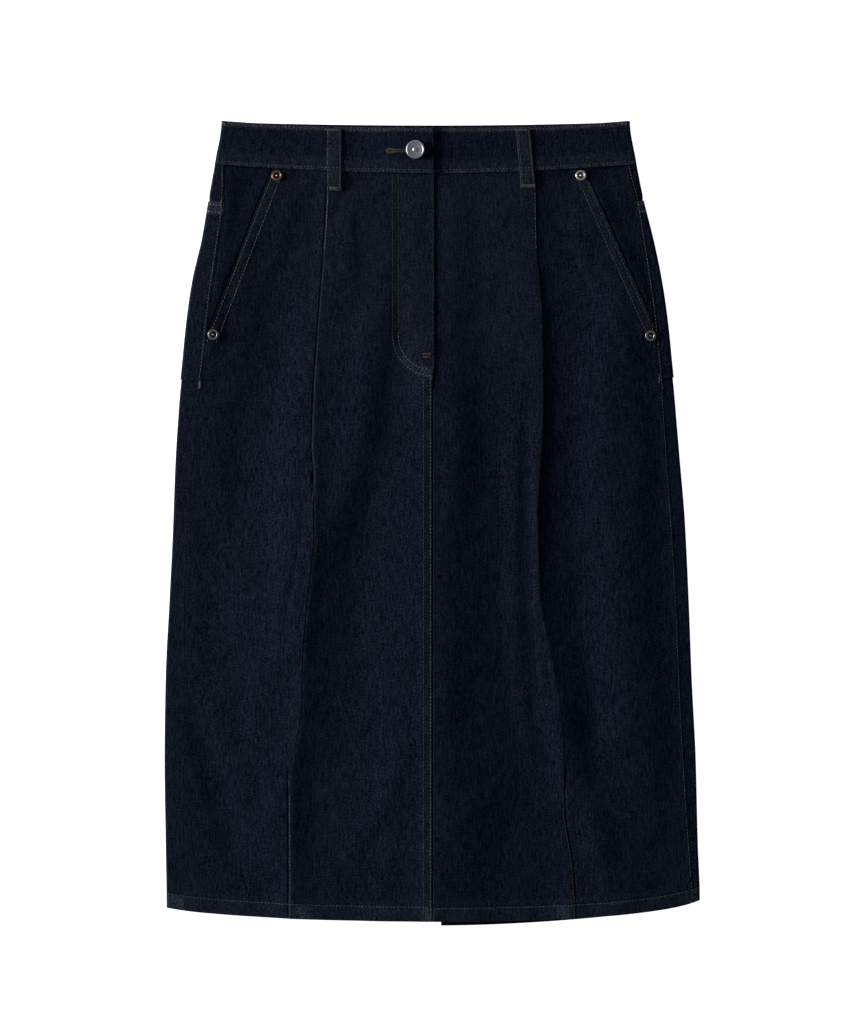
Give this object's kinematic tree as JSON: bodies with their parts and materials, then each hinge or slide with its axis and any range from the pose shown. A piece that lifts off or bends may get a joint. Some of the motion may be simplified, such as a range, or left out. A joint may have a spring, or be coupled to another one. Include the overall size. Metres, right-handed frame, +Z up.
{
  "type": "denim skirt",
  "caption": "Dark indigo denim midi skirt laid flat, with a stitched waistband, fly front, slanted pockets, knife pleats below the belt loops and tucks at the hem",
  "frame": {"origin": "middle of the skirt's box, on the surface it lies on", "axes": "+X towards the wearer's left, +Y from hem to waist, +Z up out of the skirt's front"},
  "size_m": [0.4932, 0.7411, 0.0126],
  "materials": {
    "denim": "dark indigo twill, matt with faint slubs",
    "denim_band": "indigo twill, slightly worn, matt",
    "antique_silver": "antique silver, satin with darkened hollows",
    "antique_copper": "antique copper, dull",
    "antique_brass": "dark antique brass, dull"
  },
  "bodies": {
    "root": {"back_left": "denim", "back_pocket_left": "denim", "back_pocket_right": "denim", "back_right": "denim", "belt_loop_left": "denim_band", "belt_loop_right": "denim_band", "button": "antique_silver", "fly_facing": "denim", "front_left": "denim", "front_right": "denim", "pocket_facing_left": "denim", "pocket_facing_right": "denim", "rivet_left_low": "antique_brass", "rivet_left_top": "antique_silver", "rivet_right_low": "antique_brass", "rivet_right_top": "antique_copper", "waistband": "denim_band"}
  },
  "joints": []
}
